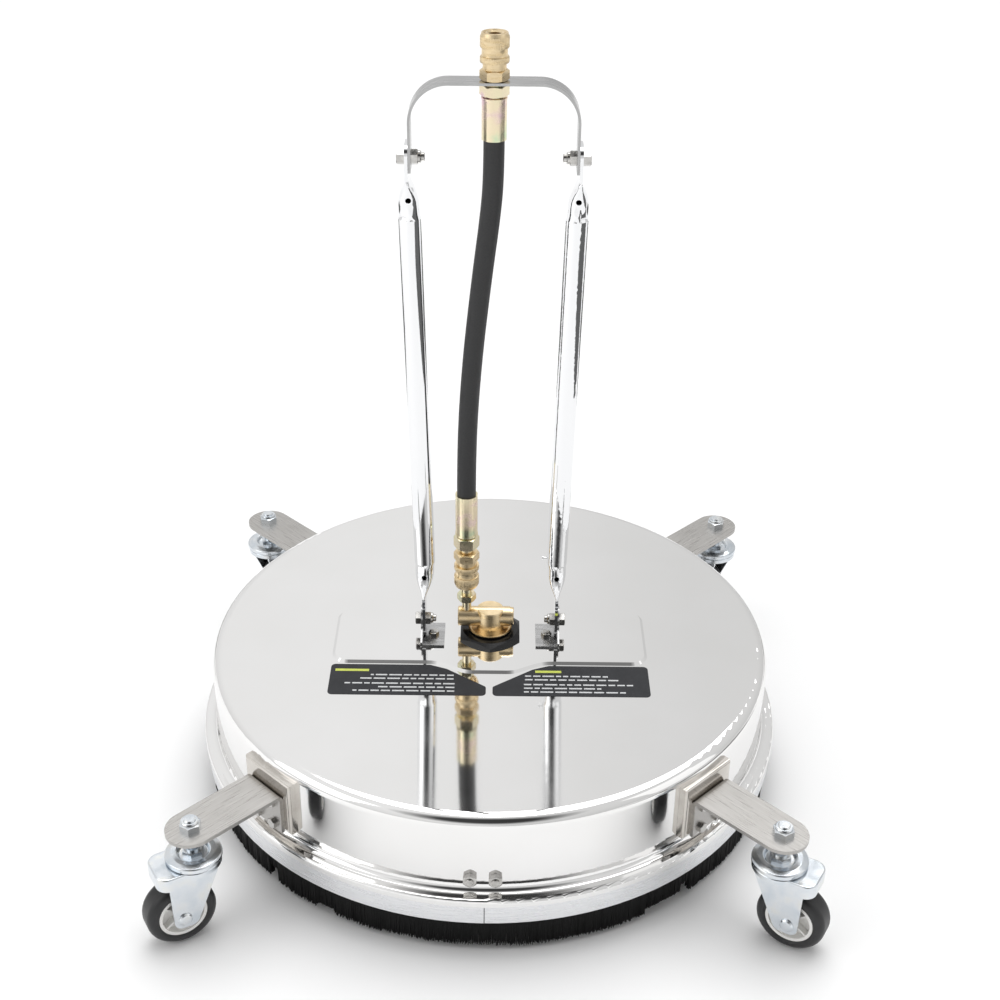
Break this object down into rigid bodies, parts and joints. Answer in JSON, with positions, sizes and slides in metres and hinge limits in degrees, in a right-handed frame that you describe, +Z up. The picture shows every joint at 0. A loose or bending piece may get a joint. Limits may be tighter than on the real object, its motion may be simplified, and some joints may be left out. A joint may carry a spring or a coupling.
{
  "type": "flat surface cleaner",
  "caption": "Round stainless flat surface cleaner for a pressure washer, with swivel casters, a brush skirt, a spray rotor, and a chrome handle frame that carries a short hose.",
  "frame": {"origin": "on the ground under the deck's axis", "axes": "+Z up; -Y the front, where the brush strip's joint and the labels are; +X to the right seen from the front"},
  "size_m": [0.6762, 0.6544, 0.819],
  "materials": {
    "mirror_steel": "mirror polished stainless steel",
    "satin_strip": "satin rolled strip",
    "bristle": "black nylon bristles",
    "plain_steel": "plain sheet steel",
    "label_film": "dark charcoal vinyl film",
    "pressed_stainless": "pressed stainless, warm reflections",
    "brushed_stainless": "brushed stainless bar, grain along the arm",
    "bolt_steel": "bright zinc fasteners",
    "zinc": "blue bright zinc plate",
    "bearing_steel": "ground bearing steel",
    "housing_alloy": "machined aluminium",
    "brass": "machined brass",
    "black_nut": "gloss black",
    "seal_rubber": "black nitrile rubber",
    "spring_steel": "drawn spring wire",
    "yellow_zinc": "yellow chromate zinc, faint pink and green tints",
    "hose_cover": "matte black hose cover with a fine wrap texture",
    "tube_chrome": "bright chrome plated tube",
    "strap_steel": "satin stainless strip",
    "hub_plastic": "white moulded nylon",
    "tyre_rubber": "dark grey wheel tread"
  },
  "bodies": {
    "chassis": {"deck_shell": "mirror_steel", "brush_channel": "satin_strip", "brush_bristles": "bristle", "brush_joint_plate": "plain_steel", "deck_labels": "label_film", "arm_pads": "pressed_stainless", "caster_arms": "brushed_stainless", "m6_bolts": "bolt_steel", "m6_nuts": "bolt_steel", "m8_bolts": "bolt_steel", "m8_nuts": "bolt_steel", "caster_stems": "zinc", "caster_top_races": "zinc", "caster_balls": "bearing_steel", "stem_nuts": "zinc", "stem_washers": "zinc", "swivel_housing": "housing_alloy", "swivel_body": "brass", "swivel_end_plug": "brass", "swivel_clamp_nut": "black_nut", "swivel_bearings": "bearing_steel", "swivel_seal": "seal_rubber", "foot_brackets": "strap_steel", "plug_nipple": "yellow_zinc", "coupler_body_lower": "brass", "coupler_spring_lower": "spring_steel", "hose_nut_lower": "yellow_zinc", "hose_ferrule_lower": "yellow_zinc", "hose": "hose_cover"},
    "rotor": {"rotor_shaft": "plain_steel", "rotor_hub": "brass", "spray_arms": "brushed_stainless", "spray_nozzles": "plain_steel"},
    "handle": {"tube_left": "tube_chrome", "tube_right": "tube_chrome", "hoop_strap": "strap_steel", "hoop_bolts": "bolt_steel", "hoop_nuts": "bolt_steel", "coupler_body_upper": "brass", "coupler_spring_upper": "spring_steel", "hose_nut_upper": "yellow_zinc", "hose_ferrule_upper": "yellow_zinc"},
    "sleeve_lower": {"coupler_sleeve_lower": "brass"},
    "sleeve_upper": {"coupler_sleeve_upper": "brass"},
    "fork_front_left": {"caster_fork_front_left": "zinc", "caster_axle_front_left": "zinc"},
    "wheel_front_left": {"wheel_hub_front_left": "hub_plastic", "wheel_tyre_front_left": "tyre_rubber"},
    "fork_front_right": {"caster_fork_front_right": "zinc", "caster_axle_front_right": "zinc"},
    "wheel_front_right": {"wheel_hub_front_right": "hub_plastic", "wheel_tyre_front_right": "tyre_rubber"},
    "fork_rear_left": {"caster_fork_rear_left": "zinc", "caster_axle_rear_left": "zinc"},
    "wheel_rear_left": {"wheel_hub_rear_left": "hub_plastic", "wheel_tyre_rear_left": "tyre_rubber"},
    "fork_rear_right": {"caster_fork_rear_right": "zinc", "caster_axle_rear_right": "zinc"},
    "wheel_rear_right": {"wheel_hub_rear_right": "hub_plastic", "wheel_tyre_rear_right": "tyre_rubber"}
  },
  "joints": [
    {"name": "rotor_spin", "type": "hinge", "parent": "chassis", "child": "rotor", "pos_m": [0, 0, 0.1], "axis": [0, 0, 1], "continuous": true},
    {"name": "handle_tilt", "type": "hinge", "parent": "chassis", "child": "handle", "pos_m": [0, 0, 0.18], "axis": [1, 0, 0], "range_deg": [-8, 8], "deforming": ["hose"]},
    {"name": "sleeve_lower_slide", "type": "slide", "parent": "chassis", "child": "sleeve_lower", "axis": [0, 0, 1], "range_m": [0, 0.005], "stiffness_N_per_m": 2500, "springref_m": -0.003, "deforming": ["coupler_spring_lower"]},
    {"name": "sleeve_upper_slide", "type": "slide", "parent": "handle", "child": "sleeve_upper", "axis": [0, 0, -1], "range_m": [0, 0.005], "stiffness_N_per_m": 2500, "springref_m": -0.003, "deforming": ["coupler_spring_upper"]},
    {"name": "swivel_front_left", "type": "hinge", "parent": "chassis", "child": "fork_front_left", "pos_m": [-0.28553, -0.28553, 0.094], "axis": [0, 0, 1], "continuous": true},
    {"name": "spin_front_left", "type": "hinge", "parent": "fork_front_left", "child": "wheel_front_left", "pos_m": [-0.30328, -0.29578, 0.0355], "axis": [0.5, -0.866, 0], "continuous": true},
    {"name": "swivel_front_right", "type": "hinge", "parent": "chassis", "child": "fork_front_right", "pos_m": [0.28553, -0.28553, 0.094], "axis": [0, 0, 1], "continuous": true},
    {"name": "spin_front_right", "type": "hinge", "parent": "fork_front_right", "child": "wheel_front_right", "pos_m": [0.30328, -0.29578, 0.0355], "axis": [0.5, 0.866, 0], "continuous": true},
    {"name": "swivel_rear_left", "type": "hinge", "parent": "chassis", "child": "fork_rear_left", "pos_m": [-0.28553, 0.28553, 0.094], "axis": [0, 0, 1], "continuous": true},
    {"name": "spin_rear_left", "type": "hinge", "parent": "fork_rear_left", "child": "wheel_rear_left", "pos_m": [-0.27103, 0.30003, 0.0355], "axis": [-0.7071, 0.7071, 0], "continuous": true},
    {"name": "swivel_rear_right", "type": "hinge", "parent": "chassis", "child": "fork_rear_right", "pos_m": [0.28553, 0.28553, 0.094], "axis": [0, 0, 1], "continuous": true},
    {"name": "spin_rear_right", "type": "hinge", "parent": "fork_rear_right", "child": "wheel_rear_right", "pos_m": [0.27103, 0.30003, 0.0355], "axis": [-0.7071, -0.7071, 0], "continuous": true}
  ]
}
